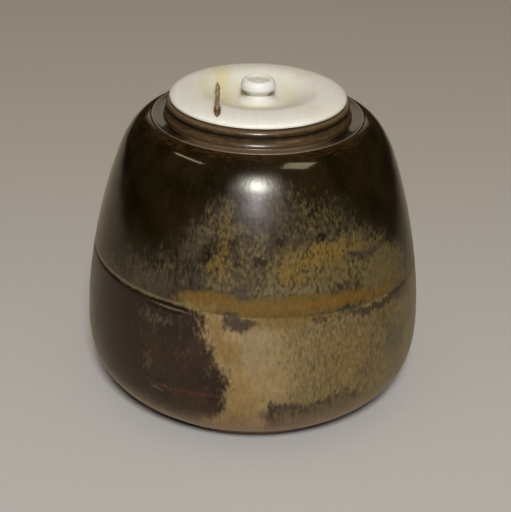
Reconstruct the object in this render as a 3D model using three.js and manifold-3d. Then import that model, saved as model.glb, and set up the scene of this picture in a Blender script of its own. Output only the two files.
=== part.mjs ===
// Small tea caddy: a thrown and glazed stoneware jar with a turned lid.
// Millimetres, +Z up, origin at the centre of the cut base.

import * as THREE from 'three';
import { mergeVertices } from 'three/addons/utils/BufferGeometryUtils.js';
import Module from 'manifold-3d';

// Jar, outside, from the base up
const baseRadius = 24; // flat base, cut off the wheel with a thread
const baseRound = 0.5; // softened edge of the base
const baseFlare = 48.7; // degrees from upright at which the wall leaves the base
const bellyRadius = 34;
const bellyHeight = 17;
const wallRise = 35.6; // belly to the turn of the shoulder
const shoulderRadius = 27.2;
const shoulderLean = 22; // degrees from upright at the turn of the shoulder
const shoulderRise = 7; // turn of the shoulder to the arris round the neck
const shoulderSlope = 75; // degrees from upright where the shoulder meets the arris
const arrisRound = 0.15;
const shelfWidth = 2.8; // the arris stands this far outside the lip
const shelfFall = 0.25; // from the arris down to the foot of the ridge
const shelfHollow = 0.15; // the shelf dips this far between them
const neckRise = 3.05; // top of the arris to the top of the lip
const ridgeStep = 0.2; // foot of the rounded ridge, outside the lip
const grooveDepth = 0.55; // groove between ridge and lip
const lipRadius = 18.2;
const lipWidth = 3; // wall at the mouth
const lipRound = 0.75;

// Incised line round the waist of the jar
const waistLineWidth = 0.9;
const waistLineDepth = 0.3;

// Jar, inside
const wall = 3;
const floorThickness = 3.6;
const throatDrop = 2; // the shoulder's inside meets the mouth this far under the arris

// Lid: rim, dish, knob and the plug under it, turned from one piece
const lidInset = 0.8; // lid's edge inside the lip's
const seatGap = 0.25;
const rimRise = 1.6; // seat to the crest of the rim
const rimEdge = 0.15; // upright edge between the two rounded ones
const rimUnderRound = 0.2;
const crestInset = 5.1; // edge to crest
const dishRadius = 4.1; // the knob's foot flares out to here
const dishDepth = 2.15; // below the crest
const plugGap = 0.35; // round the plug, in the mouth
const plugWall = 1.65;
const recessDepth = 0.95; // hollow inside the plug, where the lining lies
const plugRound = 0.3;
const dishWeb = 1.3; // lid's thickness under the dish

// Knob
const knobWaistRadius = 1.85;
const knobWaistRise = 1; // above the dish
const knobRadius = 3.45;
const knobBallRise = 1.75; // waist to the widest ring
const knobCrownRise = 1.65; // widest ring to the top ring
const knobTopRadius = 2.45;
const knobDimple = 0.35;
const knobNubRadius = 0.55;

// Natural channel that opens in the lid's top, cut lengthwise
const channelLength = 19.6;
const channelWidth = 1.6;
const channelDepth = 0.8;
const channelOffset = 7.85; // to the left of the knob
const channelShift = 4.7; // its middle lies this far in front of the knob
const channelTurn = 1.5; // degrees

// Gold-leafed paper inside the plug
const liningThickness = 0.3;
const liningGap = 0.15;

// Handles of the long curves, as shares of each stretch's rise
const lowerBellyShares = [0.43, 0.65];
const wallShares = [0.33, 0.25];
const shoulderShares = [0.51, 0.41];
const waistLineShare = 0.39; // of the wall's curve
const grooveHeightShare = 0.44; // of the neck's rise
// Handles of the ridge's curve, outwards and upwards, from its foot and from the groove
const ridgeFootPull = [0.5, 0.3];
const ridgeTopPull = [1.1, -0.75];
// Lid: pull of the curves, as shares of their own width or rise
const rimPullShares = [0.45, 0.7];
const dishPullShares = [0.32, 0.33];
const flarePullShares = [0.15, 0.4];
const ballPullShares = [0.3, 0.25, 0.17];
const crownPullShares = [0.5, 0.6];
const nubHeightShare = 0.45; // of the dimple's depth
const dimpleWidthShare = 0.5; // of the flat between nub and top ring

const jarSides = 60;
const lidSides = 48;
const samePoint = 1e-6;

// Heights and radii that follow
const shoulderHeight = bellyHeight + wallRise;
const arrisHeight = shoulderHeight + shoulderRise;
const arrisTop = arrisHeight + arrisRound;
const lipHeight = arrisTop + neckRise;
const arrisRadius = lipRadius + shelfWidth;
const mouthRadius = lipRadius - lipWidth;
const seatHeight = lipHeight + seatGap;
const crestHeight = seatHeight + rimRise;
const dishHeight = crestHeight - dishDepth;
const liningSeat = dishHeight - dishWeb;
const plugFoot = liningSeat - recessDepth;
const lidRadius = lipRadius - lidInset;
const plugRadius = mouthRadius - plugGap;
const recessRadius = plugRadius - plugWall;

const at = (radius, height) => new THREE.Vector2(radius, height);

// A point moved along a direction given in degrees from upright
function step(from, degrees, distance) {
  const angle = THREE.MathUtils.degToRad(degrees);
  return at(from.x + distance * Math.sin(angle), from.y + distance * Math.cos(angle));
}

const bend = (start, startHandle, endHandle, end) =>
  new THREE.CubicBezierCurve(start, startHandle, endHandle, end);

// Points along a curve between two shares of it
function along(curve, steps, fromShare = 0, toShare = 1) {
  return Array.from({ length: steps + 1 }, (_, i) =>
    curve.getPoint(THREE.MathUtils.lerp(fromShare, toShare, i / steps)));
}

// A quarter round between an upright and a level face; signs say which way it faces
function quarter(corner, radius, sideways, upwards, steps) {
  const centre = at(corner.x - sideways * radius, corner.y - upwards * radius);
  return Array.from({ length: steps + 1 }, (_, i) => {
    const angle = (Math.PI / 2) * (i / steps);
    return at(centre.x + sideways * radius * Math.cos(angle), centre.y + upwards * radius * Math.sin(angle));
  });
}

// Closed body turned round the axis; neighbouring stretches share one point where they meet
function turned(profile, sides) {
  const points = profile.filter((p, i) => i === 0 || p.distanceTo(profile[i - 1]) > samePoint);
  return new THREE.LatheGeometry(points, sides).rotateX(Math.PI / 2);
}

// The three long curves of the wall, drawn in by the wall's thickness for the inside
function wallCurves(inset, foot, top, topSlope) {
  const belly = at(bellyRadius - inset, bellyHeight);
  const shoulder = at(shoulderRadius - inset, shoulderHeight);
  const bellyRise = belly.y - foot.y;
  const topRise = top.y - shoulder.y;
  return {
    belly: bend(foot, step(foot, baseFlare, lowerBellyShares[0] * bellyRise),
      at(belly.x, belly.y - lowerBellyShares[1] * bellyRise), belly),
    wall: bend(belly, at(belly.x, belly.y + wallShares[0] * wallRise),
      step(shoulder, 180 - shoulderLean, wallShares[1] * wallRise), shoulder),
    shoulder: bend(shoulder, step(shoulder, -shoulderLean, shoulderShares[0] * topRise),
      step(top, 180 - topSlope, shoulderShares[1] * topRise), top),
  };
}

// The wall with the incised line: a nick between two stretches of the curve
function linedWall(curve) {
  const halfShare = waistLineWidth / 2 / curve.getLength();
  const middle = curve.getPoint(waistLineShare);
  const tangent = curve.getTangent(waistLineShare);
  return [
    ...along(curve, 4, 0, waistLineShare - halfShare),
    at(middle.x - tangent.y * waistLineDepth, middle.y + tangent.x * waistLineDepth),
    ...along(curve, 6, waistLineShare + halfShare, 1),
  ];
}

function jarOutside() {
  const arris = at(arrisRadius, arrisHeight);
  const curves = wallCurves(0, at(baseRadius, 0), arris, shoulderSlope);
  const shelfEdge = at(arrisRadius - arrisRound, arrisTop);
  const ridgeFoot = at(lipRadius + ridgeStep, arrisTop - shelfFall);
  const shelfMiddle = shelfEdge.clone().lerp(ridgeFoot, 0.5).sub(at(0, 2 * shelfHollow));
  const groove = at(lipRadius - grooveDepth, arrisTop + grooveHeightShare * neckRise);
  const ridge = bend(ridgeFoot, ridgeFoot.clone().add(at(...ridgeFootPull)),
    groove.clone().add(at(...ridgeTopPull)), groove);
  const lipFoot = at(lipRadius, lipHeight - lipRound);
  return [
    at(0, 0),
    at(baseRadius - baseRound, 0),
    ...along(curves.belly, 9, baseRound / curves.belly.getLength()),
    ...linedWall(curves.wall),
    ...along(curves.shoulder, 7),
    ...quarter(shelfEdge.clone().setX(arrisRadius), arrisRound, 1, 1, 2),
    ...along(new THREE.QuadraticBezierCurve(shelfEdge, shelfMiddle, ridgeFoot), 4),
    ...along(ridge, 5),
    ...along(bend(groove, at(groove.x, lipFoot.y), at(lipFoot.x, groove.y), lipFoot), 3),
    ...quarter(at(lipRadius, lipHeight), lipRound, 1, 1, 4),
  ];
}

function jarInside() {
  const floorEdge = at(baseRadius - wall, floorThickness);
  const throat = at(mouthRadius, arrisHeight - throatDrop);
  const curves = wallCurves(wall, floorEdge, throat, 90 - shoulderLean);
  return [
    ...quarter(at(mouthRadius, lipHeight), lipRound, -1, 1, 4).reverse(),
    ...along(curves.shoulder, 6).reverse(),
    ...along(curves.wall, 7).reverse(),
    ...along(curves.belly, 7).reverse(),
    at(0, floorThickness),
  ];
}

function jarBody() {
  const material = new THREE.MeshStandardMaterial({ color: 0x2e2518, roughness: 0.22, metalness: 0 });
  const mesh = new THREE.Mesh(turned([...jarOutside(), ...jarInside()], jarSides), material);
  mesh.name = 'jar_body';
  return mesh;
}

// Knob from the dish to the nub in its dimple
function knobProfile() {
  const flareFoot = at(dishRadius, dishHeight);
  const waist = at(knobWaistRadius, dishHeight + knobWaistRise);
  const widest = at(knobRadius, waist.y + knobBallRise);
  const top = at(knobTopRadius, widest.y + knobCrownRise);
  const flareWidth = dishRadius - knobWaistRadius;
  const ballWidth = knobRadius - knobWaistRadius;
  const dimpleFloor = top.y - knobDimple;
  return [
    ...along(bend(flareFoot, at(flareFoot.x - flarePullShares[0] * flareWidth, flareFoot.y),
      at(waist.x + flarePullShares[0] * flareWidth, waist.y - flarePullShares[1] * knobWaistRise), waist), 5),
    ...along(bend(waist,
      at(waist.x + ballPullShares[0] * ballWidth, waist.y + ballPullShares[1] * knobBallRise),
      at(widest.x, widest.y - ballPullShares[2] * knobBallRise), widest), 5),
    ...along(bend(widest, at(widest.x, widest.y + crownPullShares[0] * knobCrownRise),
      at(THREE.MathUtils.lerp(top.x, widest.x, crownPullShares[1]), top.y), top), 5),
    at(THREE.MathUtils.lerp(knobNubRadius, top.x, dimpleWidthShare), dimpleFloor),
    at(knobNubRadius, dimpleFloor),
    at(0, dimpleFloor + nubHeightShare * knobDimple),
  ];
}

function lidProfile() {
  const edge = at(lidRadius, seatHeight + rimUnderRound + rimEdge);
  const crest = at(lidRadius - crestInset, crestHeight);
  const dishEdge = at(dishRadius, dishHeight);
  const rimHeight = crest.y - edge.y;
  const dishWidth = crest.x - dishEdge.x;
  return [
    at(0, liningSeat),
    at(recessRadius, liningSeat),
    ...quarter(at(recessRadius, plugFoot), plugRound, -1, -1, 2),
    ...quarter(at(plugRadius, plugFoot), plugRound, 1, -1, 2).reverse(),
    at(plugRadius, seatHeight),
    ...quarter(at(lidRadius, seatHeight), rimUnderRound, 1, -1, 2).reverse(),
    ...along(bend(edge, at(edge.x, edge.y + rimPullShares[0] * rimHeight),
      at(crest.x + rimPullShares[1] * crestInset, crest.y), crest), 8),
    ...along(bend(crest, at(crest.x - dishPullShares[0] * dishWidth, crest.y),
      at(dishEdge.x + dishPullShares[1] * dishWidth, dishEdge.y), dishEdge), 8),
    ...knobProfile(),
  ];
}

// Spindle of the channel: two shallow arcs that meet at both ends
function channelOutline() {
  const halfLength = channelLength / 2;
  const halfWidth = channelWidth / 2;
  const outline = new THREE.Shape();
  outline.moveTo(0, -halfLength);
  outline.quadraticCurveTo(2 * halfWidth, 0, 0, halfLength);
  outline.quadraticCurveTo(-2 * halfWidth, 0, 0, -halfLength);
  return outline;
}

// Solid for joining and cutting, from a closed geometry
function solid(wasm, geometry) {
  const bare = geometry.clone();
  bare.deleteAttribute('normal');
  bare.deleteAttribute('uv');
  const merged = mergeVertices(bare);
  const corners = Array.from(merged.index.array);
  const triVerts = [];
  for (let i = 0; i < corners.length; i += 3) {
    const [a, b, c] = corners.slice(i, i + 3);
    if (a !== b && b !== c && c !== a) {
      triVerts.push(a, b, c);
    }
  }
  return new wasm.Manifold(new wasm.Mesh({
    numProp: 3,
    vertProperties: Float32Array.from(merged.attributes.position.array),
    triVerts: Uint32Array.from(triVerts),
  }));
}

function geometryOf(body) {
  const { vertProperties, triVerts, numProp } = body.getMesh();
  const geometry = new THREE.BufferGeometry();
  geometry.setAttribute('position', new THREE.BufferAttribute(vertProperties, numProp));
  geometry.setIndex(new THREE.BufferAttribute(triVerts, 1));
  geometry.computeVertexNormals();
  return geometry;
}

// The lid is turned, then the channel is opened; its floor runs parallel to the top
function lid(wasm) {
  const blank = turned(lidProfile(), lidSides);
  const block = new THREE.ExtrudeGeometry(channelOutline(), {
    depth: crestHeight - liningSeat,
    bevelEnabled: false,
    curveSegments: 12,
  });
  block.rotateZ(THREE.MathUtils.degToRad(channelTurn));
  block.translate(-channelOffset, -channelShift, liningSeat + channelDepth);
  const lowered = blank.clone().translate(0, 0, -channelDepth);
  const channel = solid(wasm, block).subtract(solid(wasm, lowered));
  const material = new THREE.MeshStandardMaterial({ color: 0xe6dfc6, roughness: 0.42, metalness: 0 });
  const mesh = new THREE.Mesh(geometryOf(solid(wasm, blank).subtract(channel)), material);
  mesh.name = 'lid';
  return mesh;
}

function goldLeafLining() {
  const radius = recessRadius - liningGap;
  const profile = [
    at(0, liningSeat - liningThickness),
    at(radius, liningSeat - liningThickness),
    at(radius, liningSeat),
    at(0, liningSeat),
  ];
  const material = new THREE.MeshStandardMaterial({ color: 0xc9a24a, roughness: 0.35, metalness: 1 });
  const mesh = new THREE.Mesh(turned(profile, lidSides), material);
  mesh.name = 'gold_leaf_lining';
  return mesh;
}

const wasm = await Module();
wasm.setup();

const caddy = new THREE.Group();
caddy.add(jarBody(), lid(wasm), goldLeafLining());

export default caddy;
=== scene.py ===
import math

import bmesh
import bpy
from mathutils import Color, Matrix, Vector, noise
from mathutils.geometry import interpolate_bezier


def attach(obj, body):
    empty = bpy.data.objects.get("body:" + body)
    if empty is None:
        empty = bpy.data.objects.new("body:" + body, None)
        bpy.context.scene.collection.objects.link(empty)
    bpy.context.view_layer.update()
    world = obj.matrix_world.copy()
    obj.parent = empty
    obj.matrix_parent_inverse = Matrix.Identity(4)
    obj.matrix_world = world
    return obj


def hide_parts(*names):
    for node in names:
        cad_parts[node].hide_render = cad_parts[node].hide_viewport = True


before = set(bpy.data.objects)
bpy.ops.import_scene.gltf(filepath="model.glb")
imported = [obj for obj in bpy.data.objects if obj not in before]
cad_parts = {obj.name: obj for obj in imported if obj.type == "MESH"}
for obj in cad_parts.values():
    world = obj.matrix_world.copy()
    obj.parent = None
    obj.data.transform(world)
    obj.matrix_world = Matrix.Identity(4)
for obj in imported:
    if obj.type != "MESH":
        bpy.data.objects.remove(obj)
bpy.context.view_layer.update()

# Jar, mesh
# One piece of stoneware thrown on the wheel, cut off with a twisted thread and incised with a line round
# its waist. Its outline is turned here from the base up over the lip and down the inside.
# All lengths are millimetres until a finished piece is brought to metres.
MM = 0.001
BASE_RADIUS = 24
BASE_ROUND = 0.5
BASE_ROUND_RISE = 0.35
BASE_FLARE = 48.7  # degrees from upright
BELLY = Vector((34, 17))  # radius, height
SHOULDER = Vector((27.2, 52.6))
SHOULDER_LEAN = 22
SHOULDER_SLOPE = 75
ARRIS = Vector((21, 59.6))
ARRIS_ROUND = 0.15
SHELF_DIP = 0.2
NECK_FOOT = Vector((18.4, 59.5))
RIDGE_FOOT_PULL = Vector((0.5, 0.3))
RIDGE_TOP_PULL = Vector((1.1, -0.75))
GROOVE = Vector((17.65, 61.1))
LIP_RADIUS = 18.2
LIP_HEIGHT = 62.8
LIP_ROUND = 0.75
LIP_FOOT_HEIGHT = LIP_HEIGHT - LIP_ROUND
MOUTH_RADIUS = 15.2
THROAT_HEIGHT = 57.5
WALL = 3
FLOOR_HEIGHT = 3.6
# Handles of the wall's three curves, as shares of each one's rise
BELLY_SHARES = (0.43, 0.65)
WALL_SHARES = (0.33, 0.25)
SHOULDER_SHARES = (0.51, 0.41)
# Rings of faces on them, and across the base
OUTSIDE_STEPS = (44, 150, 34)
INSIDE_STEPS = (18, 30, 10)
BASE_STEPS = 64
SPARE_RINGS = 6  # away from the line, one ring of the wall in six is kept
JAR_STEPS = 288

LINE_HEIGHT = 31.45  # incised line, at the front
LINE_LEAN = 0.85  # it stands this much higher at the left and lower at the right
LINE_HALF_WIDTH = 0.5
LINE_DEPTH = 0.2
LINE_ZONE = 2.6  # fine rings this far above and below it
LAP_DROP = 1.0  # where the line's two ends lap, the second runs this far under the first
LAP_FROM, LAP_TO = -40, -22  # degrees
THREAD_CENTRE = Vector((7, -5))  # the thread's spiral is not centred on the base
THREAD_PITCH = 2.6
THREAD_DEPTH = 0.16
FOOT_GLAZE_HEIGHT = 3.4  # the glaze stops here


def reach(start, degrees, distance):
    """A point moved along a direction given in degrees from upright."""
    turn = math.radians(degrees)
    return start + distance * Vector((math.sin(turn), math.cos(turn)))


def bend(start, start_handle, end_handle, end, steps):
    """Points on a curve, without the first."""
    return interpolate_bezier(start, start_handle, end_handle, end, steps + 1)[1:]


def straight(start, end, steps):
    return [start.lerp(end, i / steps) for i in range(1, steps + 1)]


def quarter(centre, radius, first_degrees, steps, way=1):
    """Points on a quarter round, without the first; angles run from level."""
    turns = [math.radians(first_degrees + way * 90 * i / steps) for i in range(1, steps + 1)]
    return [centre + radius * Vector((math.cos(t), math.sin(t))) for t in turns]


def wall_curves(inset, foot, top, top_slope, steps):
    """The three long curves of the wall, from the foot to the top."""
    belly = BELLY - Vector((inset, 0))
    shoulder = SHOULDER - Vector((inset, 0))
    low = belly.y - foot.y
    middle = shoulder.y - belly.y
    high = top.y - shoulder.y
    return (
        bend(foot, reach(foot, BASE_FLARE, BELLY_SHARES[0] * low),
             belly - Vector((0, BELLY_SHARES[1] * low)), belly, steps[0]),
        bend(belly, belly + Vector((0, WALL_SHARES[0] * middle)),
             reach(shoulder, 180 - SHOULDER_LEAN, WALL_SHARES[1] * middle), shoulder, steps[1]),
        bend(shoulder, reach(shoulder, -SHOULDER_LEAN, SHOULDER_SHARES[0] * high),
             reach(top, 180 - top_slope, SHOULDER_SHARES[1] * high), top, steps[2]),
    )


def jar_outline():
    base_edge = Vector((BASE_RADIUS - BASE_ROUND, 0))
    low, middle, high = wall_curves(0, Vector((BASE_RADIUS, 0)), ARRIS, SHOULDER_SLOPE, OUTSIDE_STEPS)
    shelf_edge = ARRIS + Vector((-ARRIS_ROUND, ARRIS_ROUND))
    shelf_middle = (shelf_edge + NECK_FOOT) / 2 - Vector((0, SHELF_DIP))
    lip_foot = Vector((LIP_RADIUS, LIP_FOOT_HEIGHT))
    floor_edge = Vector((BASE_RADIUS - WALL, FLOOR_HEIGHT))
    throat = Vector((MOUTH_RADIUS, THROAT_HEIGHT))
    inside = wall_curves(WALL, floor_edge, throat, 90 - SHOULDER_LEAN, INSIDE_STEPS)
    outline = [Vector((0, 0))]
    outline += straight(outline[-1], base_edge, BASE_STEPS)
    outline += [p for p in low if p.y > BASE_ROUND_RISE]
    outline += [p for i, p in enumerate(middle, 1)
                if abs(p.y - LINE_HEIGHT) < LINE_ZONE or i % SPARE_RINGS == 0]
    outline += high
    outline += quarter(ARRIS - Vector((ARRIS_ROUND, 0)), ARRIS_ROUND, 0, 4)
    outline += bend(shelf_edge, shelf_edge.lerp(shelf_middle, 2 / 3), NECK_FOOT.lerp(shelf_middle, 2 / 3),
                    NECK_FOOT, 9)
    outline += bend(NECK_FOOT, NECK_FOOT + RIDGE_FOOT_PULL, GROOVE + RIDGE_TOP_PULL, GROOVE, 14)
    outline += bend(GROOVE, Vector((GROOVE.x, lip_foot.y)), Vector((lip_foot.x, GROOVE.y)), lip_foot, 7)
    outline += quarter(lip_foot - Vector((LIP_ROUND, 0)), LIP_ROUND, 0, 7)
    outline += [Vector((MOUTH_RADIUS + LIP_ROUND, LIP_HEIGHT))]
    outline += quarter(Vector((MOUTH_RADIUS + LIP_ROUND, LIP_HEIGHT - LIP_ROUND)), LIP_ROUND, 90, 7)
    outline += straight(outline[-1], throat, 8)
    outline += [*reversed(inside[2][:-1]), SHOULDER - Vector((WALL, 0))]
    outline += [*reversed(inside[1][:-1]), BELLY - Vector((WALL, 0))]
    outline += [*reversed(inside[0][:-1]), floor_edge]
    outline += straight(floor_edge, Vector((0, FLOOR_HEIGHT)), 20)
    return outline


def turned(name, outline, steps):
    """A closed body turned round the axis from a line of points that starts and ends on it."""
    shell = bmesh.new()
    corners = [shell.verts.new((p.x, 0, p.y)) for p in outline]
    lines = [shell.edges.new(pair) for pair in zip(corners, corners[1:])]
    bmesh.ops.spin(shell, geom=corners + lines, axis=(0, 0, 1), cent=(0, 0, 0), angle=math.tau,
                   steps=steps, use_merge=True)
    bmesh.ops.remove_doubles(shell, verts=shell.verts, dist=0.001)
    bmesh.ops.recalc_face_normals(shell, faces=shell.faces)
    for face in shell.faces:
        face.smooth = True
    return shell


def finish_piece(name, shell, body, node, materials):
    """Bring a piece to metres and let it stand for its node."""
    bmesh.ops.scale(shell, vec=(MM, MM, MM), verts=shell.verts)
    mesh = bpy.data.meshes.new(name)
    shell.to_mesh(mesh)
    shell.free()
    piece = bpy.data.objects.new(name, mesh)
    bpy.context.scene.collection.objects.link(piece)
    for material in materials:
        mesh.materials.append(material)
    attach(piece, body)
    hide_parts(node)


def line_height(turn):
    return LINE_HEIGHT - LINE_LEAN * math.sin(turn)


def line_depth(degrees):
    """The glaze has filled the line at the front and back, where it ran."""
    front = math.exp(-((degrees - 2) / 22) ** 4)
    behind = math.exp(-((abs(degrees) - 170) / 20) ** 4)
    return LINE_DEPTH * (1 - 0.75 * max(front, behind))


def nick(distance):
    """Depth of the incised line at a distance from its middle, 0 to 1."""
    return math.exp(-((distance / LINE_HALF_WIDTH) ** 2) * 1.6)


THROAT_RADIUS = 17  # below the lip, nothing of the outside lies so near the axis
HOLLOW_SIZE = 22  # how far apart the hollows in the wall lie
MEAN_HOLLOW, HOLLOW_SPREAD = 0.1, 0.09
RING_DEPTH = 0.01
INSIDE_SHARE = 0.2  # of the unevenness, on the inside
LAP_FADE = 4  # degrees
GLAZE_THICKNESS = 0.22
GLAZE_ROLL = 0.7  # the glaze's lower edge wanders by this


def jar_unevenness(point):
    """How far the clay lies under the true turned shape, in millimetres."""
    turn = math.atan2(point.x, -point.y)
    radius = math.hypot(point.x, point.y)
    inner = radius < MOUTH_RADIUS + 0.01 or point.z < LIP_FOOT_HEIGHT and radius < THROAT_RADIUS
    sink = MEAN_HOLLOW + HOLLOW_SPREAD * noise.noise(point / HOLLOW_SIZE)
    sink += RING_DEPTH * math.sin(point.z * 1.6 + 1.4 * math.sin(turn))
    if inner:
        return INSIDE_SHARE * sink
    above = line_height(turn)
    degrees = math.degrees(turn)
    lap = min(1, max(0, (degrees - LAP_FROM) / LAP_FADE)) * min(1, max(0, (LAP_TO - degrees) / LAP_FADE))
    sink += line_depth(degrees) * (nick(point.z - above) + 0.8 * lap * nick(point.z - above + LAP_DROP))
    roll = FOOT_GLAZE_HEIGHT + GLAZE_ROLL * noise.noise(Vector((math.sin(turn), math.cos(turn), 3)) * 2.2)
    sink += GLAZE_THICKNESS / (1 + math.exp((point.z - roll) * 5))
    return sink


def thread_mark(point):
    """Height of the thread's groove in the base."""
    across = Vector((point.x, point.y)) - THREAD_CENTRE
    phase = across.length / THREAD_PITCH + math.atan2(across.x, across.y) / math.tau
    wave = max(0, math.cos(math.tau * phase)) ** 3
    edge = min(1, max(0, (BASE_RADIUS - 1.2 - point.xy.length) / 1.5))
    return THREAD_DEPTH * wave * edge * min(1, across.length / THREAD_PITCH)


jar_shell = turned("jar", jar_outline(), JAR_STEPS)
for edge in jar_shell.edges:
    if all((Vector((c.co.xy.length, c.co.z)) - GROOVE).length < 0.01 for c in edge.verts):
        edge.smooth = False
jar_shell.normal_update()
moves = []
for corner in jar_shell.verts:
    if corner.co.z < 0.01:
        moves.append(Vector((0, 0, thread_mark(corner.co))))
    else:
        moves.append(-jar_unevenness(corner.co) * corner.normal)
for corner, move in zip(jar_shell.verts, moves):
    corner.co += move

# Jar, glaze
# An iron glaze poured over the whole jar: black and glossy where it is thick, breaking to ochre, amber
# and tan where it ran. The pattern is laid out by angle round the jar, in degrees from the front with
# right positive, and by height in millimetres.


def feed(socket, value):
    """Link a socket into this one, or type a plain value in."""
    if isinstance(value, bpy.types.NodeSocket):
        socket.id_data.links.new(value, socket)
    else:
        socket.default_value = value


def fill(node, **values):
    """Feed a node's inputs by their labels, with _ for a blank."""
    for label, value in values.items():
        feed(node.inputs[label.replace("_", " ")], value)


def calc(tree, operation, *values):
    node = tree.nodes.new("ShaderNodeMath")
    node.operation = operation
    for socket, value in zip(node.inputs, values):
        feed(socket, value)
    return node.outputs[0]


def hypot(tree, across, along):
    squares = [calc(tree, "POWER", value, 2) for value in (across, along)]
    return calc(tree, "SQRT", calc(tree, "ADD", *squares))


def split(tree, vector):
    """The three coordinates of a vector."""
    node = tree.nodes.new("ShaderNodeSeparateXYZ")
    feed(node.inputs[0], vector)
    return node.outputs


def ramp(tree, value, low, high, to_low=0.0, to_high=1.0):
    """A smooth step from to_low at low to to_high at high."""
    node = tree.nodes.new("ShaderNodeMapRange")
    node.interpolation_type = "SMOOTHSTEP"
    fill(node, Value=value, From_Min=low, From_Max=high, To_Min=to_low, To_Max=to_high)
    return node.outputs["Result"]


def grain(tree, place, size, stretch=(1, 1, 1), shift=0, detail=3, strength=1.0):
    """Noise about 0.5 with features of the given size in the units of place, drawn out by stretch."""
    mapping = tree.nodes.new("ShaderNodeMapping")
    fill(mapping, Vector=place, Location=(shift, 1.7 * shift, 0.6 * shift),
         Scale=[1 / (size * s) for s in stretch])
    node = tree.nodes.new("ShaderNodeTexNoise")
    fill(node, Vector=mapping.outputs["Vector"], Scale=1, Detail=detail)
    if strength == 1:
        return node.outputs[0]
    return calc(tree, "MULTIPLY_ADD", node.outputs[0], strength, 0.5 - 0.5 * strength)


def blend(tree, under, over, share):
    """Mix two colours; the sockets go by place, because the node repeats their names for each kind."""
    node = tree.nodes.new("ShaderNodeMix")
    node.data_type = "RGBA"
    feed(node.inputs[0], share)
    feed(node.inputs[6], under)
    feed(node.inputs[7], over)
    return node.outputs[2]


def tint(red, green, blue):
    """A colour as a paint chart gives it, 0 to 255."""
    return (*Color((red / 255, green / 255, blue / 255)).from_srgb_to_scene_linear(), 1)


def by_curve(tree, value, low, high, least, most, stops):
    """A value read off a drawn curve; stops are (value, result) in real units."""
    node = tree.nodes.new("ShaderNodeFloatCurve")
    feed(node.inputs["Value"], calc(tree, "DIVIDE", calc(tree, "SUBTRACT", value, low), high - low))
    line = node.mapping.curves[0]
    for i, (at, result) in enumerate(stops):
        place = ((at - low) / (high - low), (result - least) / (most - least))
        if i < 2:
            line.points[i].location = place
        else:
            line.points.new(*place)
    for point in line.points:
        point.handle_type = "AUTO_CLAMPED"
    node.mapping.update()
    return calc(tree, "MULTIPLY_ADD", node.outputs[0], most - least, least)


def new_group(name, inputs, outputs):
    tree = bpy.data.node_groups.new(name, "ShaderNodeTree")
    for label, kind in inputs:
        tree.interface.new_socket(label, in_out="INPUT", socket_type=kind)
    for label, kind in outputs:
        tree.interface.new_socket(label, in_out="OUTPUT", socket_type=kind)
    return tree, tree.nodes.new("NodeGroupInput"), tree.nodes.new("NodeGroupOutput")


def use_group(tree, group, **values):
    node = tree.nodes.new("ShaderNodeGroup")
    node.node_tree = group
    fill(node, **values)
    return node


def in_mm(tree, position):
    node = tree.nodes.new("ShaderNodeVectorMath")
    node.operation = "SCALE"
    node.inputs["Scale"].default_value = 1 / MM
    feed(node.inputs[0], position)
    return node.outputs[0]


FLOAT, VECTOR, COLOUR = "NodeSocketFloat", "NodeSocketVector", "NodeSocketColor"

# Where a point lies on the turned wall. Streaks is a place that runs with the glaze: round the jar
# across, and along the wall from foot to neck.
on_wall, given, made = new_group(
    "Place on the wall", [("Position", VECTOR)],
    [("Angle", FLOAT), ("Height", FLOAT), ("Radius", FLOAT), ("Streaks", VECTOR)])
x, y, z = split(on_wall, in_mm(on_wall, given.outputs["Position"]))
radius = hypot(on_wall, x, y)
turn = calc(on_wall, "ARCTAN2", x, calc(on_wall, "MULTIPLY", y, -1))
inward = calc(on_wall, "SUBTRACT", BELLY.x, radius)
streak = on_wall.nodes.new("ShaderNodeCombineXYZ")
fill(streak, X=calc(on_wall, "MULTIPLY", calc(on_wall, "SINE", turn), BELLY.x),
     Y=calc(on_wall, "MULTIPLY", calc(on_wall, "COSINE", turn), -BELLY.x),
     Z=calc(on_wall, "MULTIPLY_ADD", inward, 0.8, z))
fill(made, Angle=calc(on_wall, "DEGREES", turn), Height=z, Radius=radius, Streaks=streak.outputs[0])

# A pool of glaze: 1 inside, falling to 0 over its edge.
glaze_pool, given, made = new_group(
    "Glaze pool",
    [("Angle", FLOAT), ("Height", FLOAT), ("Middle angle", FLOAT), ("Middle height", FLOAT),
     ("Half angle", FLOAT), ("Half height", FLOAT), ("Lean", FLOAT), ("Edge", FLOAT)],
    [("Share", FLOAT)])
rise = calc(glaze_pool, "SUBTRACT", given.outputs["Height"], given.outputs["Middle height"])
lean = calc(glaze_pool, "MULTIPLY", rise, given.outputs["Lean"])
side = calc(glaze_pool, "SUBTRACT", given.outputs["Angle"], given.outputs["Middle angle"])
side = calc(glaze_pool, "WRAP", calc(glaze_pool, "SUBTRACT", side, lean), 180, -180)
side = calc(glaze_pool, "DIVIDE", side, given.outputs["Half angle"])
rise = calc(glaze_pool, "DIVIDE", rise, given.outputs["Half height"])
past = calc(glaze_pool, "ADD", 1, given.outputs["Edge"])
within = calc(glaze_pool, "SUBTRACT", 1, given.outputs["Edge"])
fill(made, Share=ramp(glaze_pool, hypot(glaze_pool, side, rise), past, within))

glaze, given, made = new_group(
    "Iron glaze", [("Position", VECTOR)],
    [("Colour", COLOUR), ("Roughness", FLOAT), ("Glass", FLOAT), ("Relief", FLOAT)])
place = use_group(glaze, on_wall, Position=given.outputs["Position"])
angle, height = place.outputs["Angle"], place.outputs["Height"]
radius, streaks = place.outputs["Radius"], place.outputs["Streaks"]

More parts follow.
